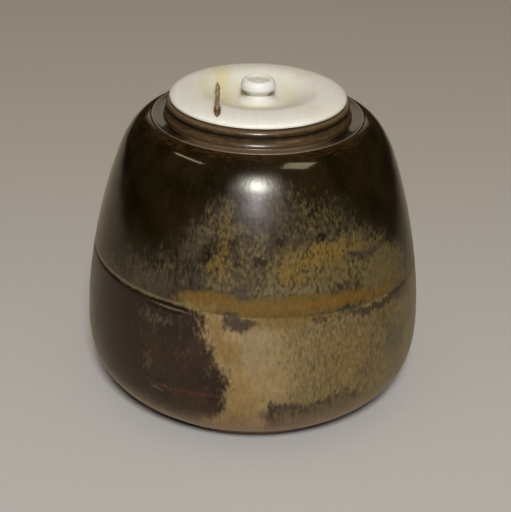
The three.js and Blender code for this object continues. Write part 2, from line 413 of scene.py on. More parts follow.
# Noises that draw the edges out of true and break the pools into flecks
drift = grain(glaze, streaks, 7, (1, 1, 1.2), 4)
sway = grain(glaze, streaks, 4, (1, 1, 2), 11)
clouds = grain(glaze, streaks, 8, (1, 1, 1.3), 31, strength=2)
coarse = grain(glaze, streaks, 1.8, (1, 1, 1.6), 3, detail=2, strength=2)
fine = grain(glaze, streaks, 0.76, (1, 1, 1.8), 17, detail=2, strength=2)
finer = grain(glaze, streaks, 0.7, (1, 1, 1.8), 41, detail=2, strength=2)
hairs = grain(glaze, streaks, 0.42, (1, 1, 3.2), 23, detail=2, strength=2.4)
dashes = grain(glaze, streaks, 0.6, (1, 1, 2), 71, detail=3, strength=2.6)
fleck = calc(glaze, "MULTIPLY_ADD", coarse, 0.4, calc(glaze, "MULTIPLY", fine, 0.6))
other_fleck = calc(glaze, "MULTIPLY_ADD", clouds, 0.3, calc(glaze, "MULTIPLY", finer, 0.7))


def nudged(value, pattern, reach_of_it):
    """A value moved by a noise about 0.5."""
    return calc(glaze, "MULTIPLY_ADD", calc(glaze, "SUBTRACT", pattern, 0.5), reach_of_it, value)


loose_angle = nudged(nudged(angle, sway, 12), fleck, 3)
loose_height = nudged(nudged(height, drift, 4), fleck, 1.3)


def pool(name, middle, half, edge=0.4, strength=1.0, lean=0.0):
    """One pool on the glaze: middle and half its size as (angle, height); lean is degrees per mm up."""
    node = use_group(glaze, glaze_pool, Angle=loose_angle, Height=loose_height,
                     Middle_angle=middle[0], Middle_height=middle[1],
                     Half_angle=half[0], Half_height=half[1], Lean=lean, Edge=edge)
    node.label = name
    if strength == 1:
        return node.outputs["Share"]
    return calc(glaze, "MULTIPLY", node.outputs["Share"], strength)


def most_of(*shares):
    found = shares[0]
    for share in shares[1:]:
        found = calc(glaze, "MAXIMUM", found, share)
    return found


def times(share, factor):
    return calc(glaze, "MULTIPLY", share, factor)


def paint(under, colour, share):
    """Lay a colour, as a paint chart gives it, over what is there."""
    return blend(glaze, under, tint(*colour), share)


def flecked(coverage, pattern, softness=0.32):
    """Break a soft coverage into flecks: 0 leaves none and 1 closes them up."""
    value = calc(glaze, "MULTIPLY_ADD", coverage, 1 + 2 * softness, pattern)
    return ramp(glaze, value, 1, 1 + 2 * softness)


# Above the line: black, with grey-brown crystals that thicken downwards
crystal_top = by_curve(glaze, angle, -180, 180, 30, 60, [
    (-180, 46), (-150, 48), (-120, 45), (-95, 43), (-70, 42), (-45, 44.5), (-33, 47), (-26, 51),
    (-20, 55.5), (-12, 58.5), (2, 59.5), (14, 59), (22, 57), (38, 55), (47, 50.5), (56, 47), (75, 45),
    (110, 47), (150, 43), (180, 46)])
depth_below = calc(glaze, "SUBTRACT", nudged(crystal_top, drift, 8), height)
veil = ramp(glaze, depth_below, -3, 11, 0.0, 0.55)
veil = times(veil, ramp(glaze, clouds, 0.1, 0.8, 0.75, 1.15))

# Ochre crystals in columns and belts over them
ochre = most_of(
    pool("Column left of the middle", (-10.5, 45), (6, 11), 0.8, 0.5),
    pool("Column's foot", (-12, 39), (9, 5), 0.6, 0.52),
    pool("Left shoulder of the column", (-17, 48), (6, 7), 0.7, 0.4),
    pool("Middle", (0, 42.5), (9, 8), 0.8, 0.48),
    pool("Mottled shoulder", (23, 49), (17, 4.8), 0.7, 0.42),
    pool("Upper shoulder", (8, 53), (18, 4), 0.8, 0.3),
    pool("Bright belt", (27, 40.3), (27, 5.4), 0.9, 0.84),
    pool("Bright belt's end", (50, 37.2), (16, 4.8), 0.9, 0.84, lean=-1),
    pool("Middle veil", (0, 37.8), (17, 3.5), 0.8, 0.5),
    pool("Left veil", (-30, 38), (12, 3.2), 0.8, 0.36),
    pool("Far left veil", (-50, 38), (16, 5), 0.8, 0.15),
    pool("Back column", (168, 43), (16, 12), 0.7, 0.6),
    pool("Back belt", (-120, 38), (34, 5), 0.6, 0.6),
    pool("Right back veil", (115, 40), (22, 7), 0.8, 0.5))
black = blend(glaze, tint(20, 13, 2), tint(38, 29, 12), ramp(glaze, clouds, 0.1, 1.1))
haze = ramp(glaze, most_of(times(veil, 1.3), times(ochre, 1.1)), 0.12, 0.65, 0, 0.45)
colour = paint(black, (50, 42, 30), haze)
colour = paint(colour, (78, 67, 50), times(flecked(veil, fleck, 0.42), 0.8))
colour = paint(colour, (102, 86, 51), times(flecked(ochre, other_fleck, 0.42), 0.95))
orange = most_of(pool("Orange in the bright belt", (26, 42.4), (16, 2.6), 0.9),
                 pool("Orange in the belt's foot", (14, 39), (6, 3), 0.7),
                 pool("Orange in the column", (-9.5, 46), (3.5, 7), 0.8, 0.6),
                 pool("Orange in the column's foot", (-12, 41), (5, 3), 0.8, 0.8),
                 pool("Orange at the back", (172, 40), (12, 6), 0.8, 0.7))
colour = paint(colour, (118, 92, 42), times(flecked(times(orange, 0.75), fine), 0.75))
pale = most_of(pool("Pale belt", (12, 36.6), (16, 1.2), 0.6), pool("Pale foot", (-13, 37), (3, 1.2), 0.6),
               pool("Pale belt, back", (-150, 36.8), (16, 1.2), 0.6))
colour = paint(colour, (106, 92, 67), times(flecked(times(pale, 0.65), fleck), 0.7))

# Amber where the glaze gathered on the line
amber = most_of(pool("Amber at the left", (-14, 33.5), (12, 2.2), 0.5),
                pool("Amber belt", (14, 33), (24, 2.6), 0.5),
                pool("Amber tail", (46, 32.2), (20, 1.5), 0.5, lean=-3),
                pool("Amber at the back", (-158, 33), (26, 2.4), 0.3))
colour = paint(colour, (98, 77, 35), times(flecked(amber, fine, 0.5), 0.92))
colour = paint(colour, (118, 82, 32), most_of(
    pool("Orange streak", (26, 33), (34, 1.1), 0.7, 0.5, lean=-5),
    pool("Orange streak, left", (-14, 34), (11, 1), 0.6, 0.5)))
colour = paint(colour, (132, 114, 70), pool("Yellow by the lap", (-20, 32.4), (5, 1), 0.6, 0.6))
grey = most_of(pool("Grey patch, left", (-19, 37.2), (4.5, 1.6), 0.8),
               pool("Grey patch, middle", (-3.5, 36.6), (4.5, 1.4), 0.8),
               pool("Purple patch", (42, 41), (9, 1.1), 0.8, lean=-4),
               pool("Grey patch, back", (150, 36.6), (7, 1.6), 0.5))
colour = paint(colour, (64, 54, 46), times(flecked(times(grey, 0.8), fleck), 0.8))
spots = most_of(pool("Spot", (10, 45.5), (2.4, 1), 0.5),
                pool("Spot by the column", (1, 42.3), (3, 1.2), 0.5),
                pool("Spot, right", (25, 46), (2.4, 1), 0.5),
                pool("Spot, left", (-18, 43), (2, 2), 0.5, 0.7))
colour = paint(colour, (28, 20, 10), times(flecked(times(spots, 0.8), dashes), 0.8))
dash_cover = times(ramp(glaze, clouds, 0, 1, 0.24, 0.44), ramp(glaze, height, 35, 37.5, 0.4, 1))
upper = paint(colour, (34, 25, 15), times(flecked(dash_cover, dashes, 0.3), 0.7))

# Below the line: dark brown at the left, and the tan flow with its ragged left edge
brown = blend(glaze, tint(38, 26, 19), tint(56, 39, 29), ramp(glaze, clouds, 0.3, 0.9))
brown = paint(brown, (78, 64, 50), times(flecked(ramp(glaze, coarse, 0.4, 0.9, 0.2, 0.4), finer), 0.42))
specks = most_of(pool("Pale specks", (-34, 28.4), (11, 1.7), 0.7, 0.5),
                 pool("Yellow specks", (-36, 18.5), (3, 2.2), 0.6, 0.5),
                 pool("Tan dash", (-32, 13.3), (3, 0.5), 0.5, 0.8),
                 pool("Edge of the flow", (-19, 29), (5, 2), 0.7, 0.4))
brown = paint(brown, (88, 74, 58), times(flecked(specks, dashes), 0.6))
darker_side = by_curve(glaze, nudged(angle, sway, 12), -180, 180, 0, 1, [
    (-180, 0), (-140, 0), (-105, 0.5), (-52, 0.5), (-28, 0), (180, 0)])
brown = paint(brown, (24, 16, 11), darker_side)
red_line = pool("Red line", (-22, 14.6), (14, 0.35), 0.7)
brown = paint(brown, (84, 44, 26), times(red_line, 0.6))
olive_side = by_curve(glaze, nudged(angle, sway, 12), -180, 180, 0, 1, [
    (-180, 0), (0, 0), (20, 1), (110, 1), (165, 0), (180, 0)])
tan = blend(glaze, tint(144, 120, 82), tint(123, 105, 68), olive_side)
tan = paint(tan, (134, 117, 86), pool("Grey beige", (2, 26), (5.5, 4.5), 0.6, 0.7))
tan = paint(tan, (126, 98, 52), pool("Ochre by the edge", (-9.5, 26), (4, 5), 0.6, 0.8, lean=-1))
tan = paint(tan, (134, 107, 62), pool("Ochre foot", (-3, 14), (5, 6), 0.6, 0.8))
tan = paint(tan, (122, 97, 56), pool("Orange brown", (34, 21), (11, 7), 0.7, 0.7))
tan = paint(tan, (114, 92, 52), pool("Orange brown, far", (52, 26), (6, 3), 0.6, 0.7))
tan = paint(tan, (84, 80, 58), pool("Green shade", (57, 21), (5, 4), 0.7, 0.7))
tan = paint(tan, (116, 90, 48), pool("Amber under the line", (12, 30.6), (16, 1.7), 0.5, 0.85))
hair_cover = calc(glaze, "MULTIPLY_ADD", olive_side, 0.26, 0.18)
tan = paint(tan, (72, 58, 36), times(flecked(hair_cover, hairs, 0.3), 0.46))
dash_cover = calc(glaze, "MULTIPLY_ADD", olive_side, 0.22, 0.14)
dash_cover = times(dash_cover, ramp(glaze, clouds, 0, 1, 0.6, 1.4))
tan = paint(tan, (60, 46, 30), times(flecked(dash_cover, dashes, 0.4), 0.5))
dim = most_of(pool("Dim streaks", (21, 22), (9, 8), 0.9, 0.36),
              pool("Dim under the band", (36, 28.2), (24, 1.8), 0.8, 0.4, lean=-3))
tan = paint(tan, (60, 50, 36), times(flecked(dim, fleck), 0.6))
flow_left = by_curve(glaze, height, 0, 60, -60, 60, [
    (0, -20), (4, -17), (7, -15), (10, -10.5), (13, -8), (15, -8), (18, -7), (21, -10), (25, -14),
    (28, -17), (30, -16), (32, -18), (60, -19)])
past_edge = calc(glaze, "SUBTRACT", nudged(nudged(angle, fleck, 4), sway, 6), flow_left)
flow_right = by_curve(glaze, height, 0, 60, 40, 140, [
    (0, 62), (5, 70), (9, 84), (13, 96), (16, 92), (20, 101), (24, 96), (28, 108), (32, 116), (60, 116)])
past_end = calc(glaze, "SUBTRACT", flow_right, nudged(nudged(angle, fleck, 7), sway, 12))
flow = calc(glaze, "MINIMUM", ramp(glaze, past_edge, -6, 6), ramp(glaze, past_end, -8, 8))
flow = flecked(flow, dashes, 0.9)
back_flow = most_of(pool("Back flow", (-166, 25), (24, 8.5), 0.5),
                    pool("Back flow's tongue", (-172, 15), (13, 8), 0.6, lean=0.6),
                    pool("Second tongue", (-152, 18), (6, 5), 0.6, lean=-0.5))
lower = blend(glaze, brown, tan, most_of(flow, flecked(back_flow, dashes, 0.4)))

# The foot of the flow, and the dark bands
round_foot = by_curve(glaze, nudged(nudged(angle, fleck, 5), sway, 6), -180, 180, 0, 1, [
    (-180, 0), (3.5, 0), (7, 0.9), (28, 0.9), (50, 0.15), (95, 0.1), (125, 0), (180, 0)])
low_band = times(ramp(glaze, nudged(loose_height, sway, 2), 15.4, 11.4), round_foot)
low_band = flecked(low_band, dashes, 0.6)
foot_colour = blend(glaze, tint(60, 49, 39), tint(98, 84, 56),
                    flecked(most_of(pool("Mottled foot", (32, 8.8), (30, 5), 0.9, 0.7), 0.3), fine))
lower = blend(glaze, lower, foot_colour, low_band)
lower = paint(lower, (52, 36, 30), pool("Maroon patch", (8.5, 8), (4, 3), 0.5, 0.8, lean=-1))
lower = paint(lower, (128, 96, 64), pool("Flow's foot", (-5, 6), (8.5, 4), 0.5, 0.85))
dark_band = most_of(pool("Dark band", (49, 29.7), (20, 0.9), 0.9, 0.8, lean=-6),
                    pool("Dark band's end", (62, 28.6), (9, 1.5), 0.9, 0.6),
                    pool("Dark band's head", (32, 30), (8, 0.7), 0.9, 0.55),
                    pool("Dark patch", (-5, 30.1), (5.4, 1.6), 0.8, 0.85),
                    pool("Small patch", (23, 29.6), (3, 0.8), 0.5, 0.5),
                    pool("Dark band, back", (150, 30), (16, 1.4), 0.4, lean=3))
lower = paint(lower, (54, 43, 36), times(flecked(dark_band, dashes, 0.8), 0.9))

# Lighter towards the foot: partly thin glaze over the clay, partly painted light from the pale floor close
# by
lower = paint(lower, (166, 130, 98), ramp(glaze, loose_height, 11, 3, 0, 0.78))

# The line: the glaze breaks pale on its edges
rightward = calc(glaze, "SINE", calc(glaze, "RADIANS", angle))
line_at = calc(glaze, "MULTIPLY_ADD", rightward, -LINE_LEAN, LINE_HEIGHT)
over_line = nudged(calc(glaze, "SUBTRACT", height, line_at), fleck, 0.5)
colour = blend(glaze, lower, upper, ramp(glaze, over_line, -0.35, 0.15))
on_line = ramp(glaze, calc(glaze, "ABSOLUTE", calc(glaze, "SUBTRACT", over_line, 0.35)), 0.5, 0.1)
bare = calc(glaze, "MAXIMUM", ramp(glaze, angle, -19, -26), ramp(glaze, angle, 62, 80))
colour = paint(colour, (116, 98, 66), times(on_line, times(bare, 0.8)))
lap = use_group(glaze, glaze_pool, Angle=angle, Height=over_line, Middle_angle=-30, Middle_height=-0.25,
                Half_angle=7, Half_height=0.4, Lean=0, Edge=0.4)
colour = paint(colour, (24, 16, 9), times(lap.outputs["Share"], 0.85))
second = use_group(glaze, glaze_pool, Angle=angle, Height=over_line, Middle_angle=-28, Middle_height=-0.85,
                   Half_angle=6, Half_height=0.22, Lean=0, Edge=0.6)
colour = paint(colour, (112, 94, 64), times(second.outputs["Share"], 0.7))

# Thin glaze on the neck, the shelf and the arris shows the clay and the fine turning lines; the shelf and
# the arris also carry painted reflection, shade and highlight
rings = grain(glaze, streaks, 0.3, (60, 60, 1), 7, detail=2, strength=1.8)
threads = grain(glaze, streaks, 0.3, (9, 9, 1), 61, detail=3, strength=2.4)
# Paler on the ridges, shelf and lip where the glaze runs thin; the groove is lifted by a painted highlight
# spilling from the ridges beside it
neck_thin_glaze_and_spill = by_curve(glaze, height, 59, 63, 0, 1, [
    (59, 0.9), (59.5, 1), (60.1, 0.95), (60.6, 0.7), (60.95, 0.4), (61.15, 0.2), (61.6, 0.2), (62, 0.4),
    (62.4, 0.65), (63, 0.65)])
neck = blend(glaze, tint(28, 18, 10), tint(78, 60, 38), neck_thin_glaze_and_spill)
neck = paint(neck, (60, 44, 28), times(ramp(glaze, rings, 0.35, 0.8), 0.45))
neck = paint(neck, (88, 64, 34), times(ramp(glaze, clouds, 0.55, 0.9), 0.4))
neck = paint(neck, (26, 16, 8), times(ramp(glaze, threads, 0.5, 1), 0.5))
neck = paint(neck, (112, 88, 58), times(ramp(glaze, threads, 0.45, 0), 0.4))
neck = paint(neck, (124, 98, 72), ramp(glaze, height, 62.2, 62.6, 0, 0.5))
on_shelf = times(ramp(glaze, height, ARRIS.y + 0.35, ARRIS.y + 0.1),
                 ramp(glaze, radius, NECK_FOOT.x - 0.1, NECK_FOOT.x + 0.2))
away = calc(glaze, "ABSOLUTE", nudged(angle, sway, 12))
# Painted reflection and shade: the shelf is painted pale at the front, where its glaze mirrors the lit
# ridge, and painted dark at the sides
neck = paint(neck, (124, 104, 78), times(on_shelf, ramp(glaze, away, 50, 20, 0, 0.6)))
neck = paint(neck, (26, 19, 11), times(on_shelf, ramp(glaze, away, 36, 56)))
# A painted highlight: a pale grey line along the rounded arris, where the lamps catch it
arris_painted_highlight = times(ramp(glaze, radius, ARRIS.x - 0.4, ARRIS.x - 0.2),
                 ramp(glaze, height, ARRIS.y - 0.5, ARRIS.y - 0.3))
neck = paint(neck, (126, 108, 92), times(arris_painted_highlight, ramp(glaze, sway, 0.3, 0.6, 0.35, 0.65)))
thin = times(ramp(glaze, radius, ARRIS.x + 0.1, ARRIS.x - 0.15),
             ramp(glaze, height, ARRIS.y - 0.7, ARRIS.y - 0.4))
colour = blend(glaze, colour, neck, thin)
turning = grain(glaze, streaks, 0.4, (6, 6, 1), 53, detail=3, strength=2.2)
traces = ramp(glaze, nudged(height, sway, 1), 57.4, 59.4, 0, 0.55)
traces = times(flecked(traces, turning), ramp(glaze, thin, 1, 0))
colour = paint(colour, (72, 48, 28), times(traces, 0.5))

# A fine grain over everything
shade = calc(glaze, "MULTIPLY_ADD", finer, 0.3, calc(glaze, "MULTIPLY_ADD", coarse, 0.14, 0.58))
grained = glaze.nodes.new("ShaderNodeVectorMath")
grained.operation = "SCALE"
feed(grained.inputs[0], colour)
feed(grained.inputs["Scale"], shade)
feed(made.inputs["Colour"], grained.outputs[0])
light_glaze = most_of(times(veil, 1.4), times(ochre, 1.2), amber, times(flow, ramp(glaze, height, 33, 31)))
glassy_shelf = times(times(on_shelf, thin), ramp(glaze, away, 32, 52))
dry_shelf = calc(glaze, "SUBTRACT", times(on_shelf, thin), glassy_shelf)
matt = pool("Matt shoulder", (1, 51.5), (16, 6.8), 0.4)
dry_neck = calc(glaze, "SUBTRACT", thin, glassy_shelf)
light_glaze = calc(glaze, "MINIMUM", most_of(light_glaze, matt, dry_neck), 1)
rough = calc(glaze, "MULTIPLY_ADD", light_glaze, 0.17, 0.12)
rough = calc(glaze, "MULTIPLY_ADD", times(on_shelf, thin), 0.16, rough)
feed(made.inputs["Roughness"], rough)
glass = calc(glaze, "MULTIPLY_ADD", light_glaze, -0.45, 0.45)
glass = times(glass, ramp(glaze, height, 3, 16, 0.45, 1))
feed(made.inputs["Glass"], times(glass, calc(glaze, "SUBTRACT", 1, dry_shelf)))
relief = calc(glaze, "MULTIPLY_ADD", fleck, 0.4, times(rings, times(thin, 0.3)))
feed(made.inputs["Relief"], calc(glaze, "MULTIPLY_ADD", sway, 0.8, relief))


def new_material(name):
    material = bpy.data.materials.new(name)
    material.use_nodes = True
    tree = material.node_tree
    position = tree.nodes.new("ShaderNodeTexCoord").outputs["Object"]
    return material, tree, tree.nodes["Principled BSDF"], position


def add_bump(tree, surface, relief, distance, strength):
    """Relief 0 to 1 stands for distance millimetres."""
    bump = tree.nodes.new("ShaderNodeBump")
    fill(bump, Height=relief, Distance=distance * MM, Strength=strength)
    fill(surface, Normal=bump.outputs["Normal"])


def glaze_over(tree, surface, coat, clay, clay_roughness, glazed):
    """Glaze where glazed is 1, and the bare clay elsewhere."""
    change = calc(tree, "SUBTRACT", coat.outputs["Roughness"], clay_roughness)
    fill(surface, Base_Color=blend(tree, clay, coat.outputs["Colour"], glazed),
         Roughness=calc(tree, "MULTIPLY_ADD", change, glazed, clay_roughness))


jar_glaze, tree, surface, position = new_material("Glazed stoneware")
coat = use_group(tree, glaze, Position=position)
where = use_group(tree, on_wall, Position=position)
foot_wave = grain(tree, where.outputs["Streaks"], 6, (1, 1, 1), 2)
foot_edge = calc(tree, "MULTIPLY_ADD", foot_wave, 2.4, FOOT_GLAZE_HEIGHT - 1.2)
glazed = ramp(tree, calc(tree, "SUBTRACT", where.outputs["Height"], foot_edge), -0.1, 0.15)
grit = grain(tree, where.outputs["Streaks"], 0.5, (1, 1, 1), 9, detail=5, strength=2)
clay = blend(tree, tint(96, 68, 52), tint(128, 98, 76), grit)
glaze_over(tree, surface, coat, clay, 0.75, glazed)
fill(surface, Specular_IOR_Level=0.3, Specular_Tint=(1.0, 0.92, 0.78, 1), Coat_Roughness=0.035,
     Coat_Weight=calc(tree, "MULTIPLY", coat.outputs["Glass"], glazed))
add_bump(tree, surface, blend(tree, grit, coat.outputs["Relief"], glazed), 0.05, 0.5)

# Jar, inside
# Bare buff stoneware with its throwing rings; the outside glaze laps over the lip and stops in the throat.
jar_inside, tree, surface, position = new_material("Inside of the jar")
coat = use_group(tree, glaze, Position=position)
where = use_group(tree, on_wall, Position=position)
drip = calc(tree, "MULTIPLY_ADD", grain(tree, where.outputs["Streaks"], 5, (1, 1, 1), 5), 5, 55)
glazed = ramp(tree, calc(tree, "SUBTRACT", where.outputs["Height"], drip), -0.1, 0.2)
grit = grain(tree, where.outputs["Streaks"], 0.6, (1, 1, 1), 19, detail=5, strength=2)
rings = grain(tree, where.outputs["Streaks"], 1.6, (12, 12, 1), 29, strength=1.6)
light_clay = calc(tree, "MULTIPLY_ADD", rings, 0.6, calc(tree, "MULTIPLY", grit, 0.4))
clay = blend(tree, tint(118, 92, 70), tint(150, 124, 98), light_clay)
glaze_over(tree, surface, coat, clay, 0.8, glazed)
relief = calc(tree, "MULTIPLY_ADD", rings, 0.7, calc(tree, "MULTIPLY", grit, 0.3))
add_bump(tree, surface, relief, 0.3, 0.6)


def is_inside(face):
    middle = face.calc_center_median()
    in_the_mouth = middle.xy.length < MOUTH_RADIUS + 0.05 and middle.z > FLOOR_HEIGHT - 0.5
    faces_the_axis = middle.z < NECK_FOOT.y - 0.5 and face.normal.dot(Vector((middle.x, middle.y, 0))) < 0
    on_the_floor = FLOOR_HEIGHT - 0.6 < middle.z < FLOOR_HEIGHT + 6.4 and face.normal.z > 0.9
    return in_the_mouth or faces_the_axis or on_the_floor


for face in jar_shell.faces:
    face.material_index = 1 if is_inside(face) else 0
finish_piece("tea_jar", jar_shell, "jar", "jar_body", [jar_glaze, jar_inside])

# Lid
# Turned from one piece of ivory-white stuff: rounded rim, shallow dish, knob with a ring and a nub, and
# a plug below that sits in the mouth. A natural channel opens in its top.
SEAT_HEIGHT = 63.05
LID_RADIUS = 17.4
RIM_UNDER_ROUND = 0.2
RIM_EDGE = 0.15
CREST = Vector((12.3, 64.65))
DISH = Vector((4.1, 62.5))
PLUG_RADIUS = 14.85
RECESS_RADIUS = 13.2
PLUG_FOOT = 60.25
PLUG_ROUND = 0.3
LINING_SEAT = 61.2
KNOB_WAIST = Vector((1.85, 63.75))
KNOB_RING = Vector((3.45, 65.25))
KNOB_TOP = Vector((2.45, 66.89))
KNOB_DIMPLE = 0.42
DIMPLE_RADIUS = 1.5
KNOB_NUB_RADIUS = 0.55
KNOB_NUB_RISE = 0.16
# Handles of the lid's curves, as shares of their rise and width or as lengths
RIM_SHARES = (0.45, 0.7)
DISH_SHARES = (0.32, 0.33)
FOOT_PULL = Vector((-0.35, 0))
WAIST_PULLS = (Vector((0.35, -0.55)), Vector((0.5, 0.4)))
RING_PULLS = (Vector((0, -0.3)), Vector((0, 0.8)))
TOP_PULLS = (Vector((0.6, 0)), Vector((-0.3, 0)))
DIMPLE_PULL = Vector((0.4, 0))
CHANNEL_MIDDLE = Vector((-7.85, -4.7))
CHANNEL_LENGTH = 19.6
CHANNEL_WIDTH = 1.3
CHANNEL_DEPTH = 0.8
CHANNEL_TURN = 1.5  # degrees
CHANNEL_BLUNTNESS = 14
CHANNEL_WANDER = 0.18
LID_STEPS = 288


def lid_outline():
    edge = Vector((LID_RADIUS, SEAT_HEIGHT + RIM_UNDER_ROUND + RIM_EDGE))
    rise = CREST.y - edge.y
    dish_width = CREST.x - DISH.x
    dimple = KNOB_TOP.y - KNOB_DIMPLE
    dimple_edge = Vector((DIMPLE_RADIUS, dimple))
    outline = [Vector((0, LINING_SEAT))]
    outline += straight(outline[-1], Vector((RECESS_RADIUS, LINING_SEAT)), 8)
    outline += [Vector((RECESS_RADIUS, PLUG_FOOT + PLUG_ROUND))]
    outline += quarter(Vector((RECESS_RADIUS + PLUG_ROUND, PLUG_FOOT + PLUG_ROUND)), PLUG_ROUND, 180, 4)
    outline += [Vector((PLUG_RADIUS - PLUG_ROUND, PLUG_FOOT))]
    outline += quarter(Vector((PLUG_RADIUS - PLUG_ROUND, PLUG_FOOT + PLUG_ROUND)), PLUG_ROUND, 270, 4)
    outline += straight(outline[-1], Vector((PLUG_RADIUS, SEAT_HEIGHT)), 5)
    outline += straight(outline[-1], Vector((LID_RADIUS - RIM_UNDER_ROUND, SEAT_HEIGHT)), 3)
    outline += quarter(Vector((LID_RADIUS - RIM_UNDER_ROUND, SEAT_HEIGHT + RIM_UNDER_ROUND)),
                       RIM_UNDER_ROUND, 270, 4)
    outline += [edge]
    outline += bend(edge, edge + Vector((0, RIM_SHARES[0] * rise)),
                    CREST + Vector((RIM_SHARES[1] * (LID_RADIUS - CREST.x), 0)), CREST, 24)
    outline += bend(CREST, CREST - Vector((DISH_SHARES[0] * dish_width, 0)),
                    DISH + Vector((DISH_SHARES[1] * dish_width, 0)), DISH, 30)
    outline += bend(DISH, DISH + FOOT_PULL, KNOB_WAIST + WAIST_PULLS[0], KNOB_WAIST, 12)
    outline += bend(KNOB_WAIST, KNOB_WAIST + WAIST_PULLS[1], KNOB_RING + RING_PULLS[0], KNOB_RING, 10)
    outline += bend(KNOB_RING, KNOB_RING + RING_PULLS[1], KNOB_TOP + TOP_PULLS[0], KNOB_TOP, 12)
    outline += bend(KNOB_TOP, KNOB_TOP + TOP_PULLS[1], dimple_edge + DIMPLE_PULL, dimple_edge, 6)
    outline += bend(outline[-1], Vector((0.9, dimple)), Vector((KNOB_NUB_RADIUS, dimple)),
                    Vector((KNOB_NUB_RADIUS, dimple + 0.05)), 4)
    outline += bend(outline[-1], Vector((KNOB_NUB_RADIUS, dimple + 0.14)),
                    Vector((0.25, dimple + KNOB_NUB_RISE)), Vector((0, dimple + KNOB_NUB_RISE)), 4)
    return outline


def channel_depth(point):
    """Depth of the channel under a point of the lid's top."""
    turn = math.radians(CHANNEL_TURN)
    from_middle = point.xy - CHANNEL_MIDDLE
    along = (-math.sin(turn) * from_middle.x + math.cos(turn) * from_middle.y) / (CHANNEL_LENGTH / 2)
    across = math.cos(turn) * from_middle.x + math.sin(turn) * from_middle.y
    across += CHANNEL_WANDER * noise.noise(Vector((point.y / 1.6, 0, 5)))
    half = CHANNEL_WIDTH / 2 * (1 - along ** CHANNEL_BLUNTNESS)
    half *= 1 + 0.25 * noise.noise(Vector((0, point.y / 1.3, 2)))
    half *= 1 - 0.35 * min(1, max(0, (along + 0.6) / 0.4))
    if abs(along) > 1 or half <= 0:
        return 0
    inside = max(0, 1 - (across / (half + 0.12)) ** 2)
    return CHANNEL_DEPTH * min(1, 1.7 * inside) * min(1, 2.5 * (1 - abs(along)))


lid_shell = turned("lid", lid_outline(), LID_STEPS)
for corner in lid_shell.verts:
    if corner.co.z > SEAT_HEIGHT - 0.6 and 6 < corner.co.xy.length < LID_RADIUS - 0.1:
        if corner.co.xy.length < PLUG_RADIUS or corner.co.z > SEAT_HEIGHT + 0.3:
            corner.co.z -= channel_depth(corner.co)

ivory, tree, surface, position = new_material("Turned ivory-white lid")
where = use_group(tree, on_wall, Position=position)
radius, height = where.outputs["Radius"], where.outputs["Height"]
mm = in_mm(tree, position)
x, y, _ = split(tree, mm)
figure = grain(tree, mm, 1.1, (1, 9, 4), 3, strength=1.6)
cloud = grain(tree, mm, 6, (1, 1, 1), 8)
cream = blend(tree, tint(217, 212, 202), tint(211, 204, 187), figure)
cream = blend(tree, cream, tint(208, 197, 172), ramp(tree, cloud, 0.45, 0.75, 0, 0.5))
# Painted shade: the dish round the knob is painted darker and yellower, where its slope turns away from
# the light
dish_painted_shade = calc(tree, "MULTIPLY", ramp(tree, radius, 10, 6.5), ramp(tree, radius, 3.2, 4.2))
cream = blend(tree, cream, tint(204, 194, 164), calc(tree, "MULTIPLY", dish_painted_shade, 0.6))
on_knob = calc(tree, "MULTIPLY", ramp(tree, height, KNOB_WAIST.y - 0.45, KNOB_WAIST.y + 0.15),
               ramp(tree, radius, KNOB_RING.x + 0.25, KNOB_RING.x + 0.05))
cream = blend(tree, cream, tint(211, 208, 199), on_knob)
# Painted shade: the hollow in the knob's top is painted darker
dimple = calc(tree, "MULTIPLY", ramp(tree, height, KNOB_TOP.y - 0.09, KNOB_TOP.y - 0.29),
              ramp(tree, radius, KNOB_TOP.x + 0.05, KNOB_TOP.x - 0.25))
dimple = calc(tree, "MULTIPLY", dimple, ramp(tree, height, KNOB_TOP.y - 0.89, KNOB_TOP.y - 0.59))
cream = blend(tree, cream, tint(197, 191, 171), dimple)


def spot(tree, across, deep, middle, half, edge=0.5):
    """An oval on the lid's top: 1 inside, 0 outside."""
    across = calc(tree, "DIVIDE", calc(tree, "SUBTRACT", across, middle[0]), half[0])
    deep = calc(tree, "DIVIDE", calc(tree, "SUBTRACT", deep, middle[1]), half[1])
    return ramp(tree, hypot(tree, across, deep), 1 + edge, 1 - edge)


wavy_x = calc(tree, "MULTIPLY_ADD", calc(tree, "SUBTRACT", cloud, 0.5), 3, x)
wavy_y = calc(tree, "MULTIPLY_ADD", calc(tree, "SUBTRACT", figure, 0.5), 3, y)
stain = calc(tree, "MAXIMUM", spot(tree, wavy_x, wavy_y, (-7.3, 8.5), (1.9, 6), 0.7),
             calc(tree, "MULTIPLY", spot(tree, wavy_x, wavy_y, (-6.4, 0), (1.4, 5), 0.9), 0.8))
stain = calc(tree, "MULTIPLY", stain, ramp(tree, x, -5.4, -6.2, 0.25, 1))
left_stain = calc(tree, "MULTIPLY", spot(tree, wavy_x, wavy_y, (-10, 1), (1.2, 5), 0.9), 0.6)
stain = calc(tree, "MAXIMUM", stain, left_stain)
cream = blend(tree, cream, tint(206, 193, 120), calc(tree, "MULTIPLY", stain, 0.55))
turn = math.radians(CHANNEL_TURN)
aside = calc(tree, "SUBTRACT", x, CHANNEL_MIDDLE.x)
local_y = calc(tree, "SUBTRACT", y, CHANNEL_MIDDLE.y)
local_x = calc(tree, "ADD", calc(tree, "MULTIPLY", aside, math.cos(turn)),
               calc(tree, "MULTIPLY", local_y, math.sin(turn)))
along = calc(tree, "DIVIDE", local_y, CHANNEL_LENGTH / 2)
narrow = calc(tree, "SUBTRACT", 1, calc(tree, "POWER", along, CHANNEL_BLUNTNESS))
narrow = calc(tree, "MULTIPLY", narrow, ramp(tree, local_y, -6, -2, 1, 0.65))
narrow = calc(tree, "MAXIMUM", calc(tree, "MULTIPLY", narrow, CHANNEL_WIDTH / 2), 0.001)
rag = grain(tree, mm, 0.8, (1, 2, 2), 14, detail=4)
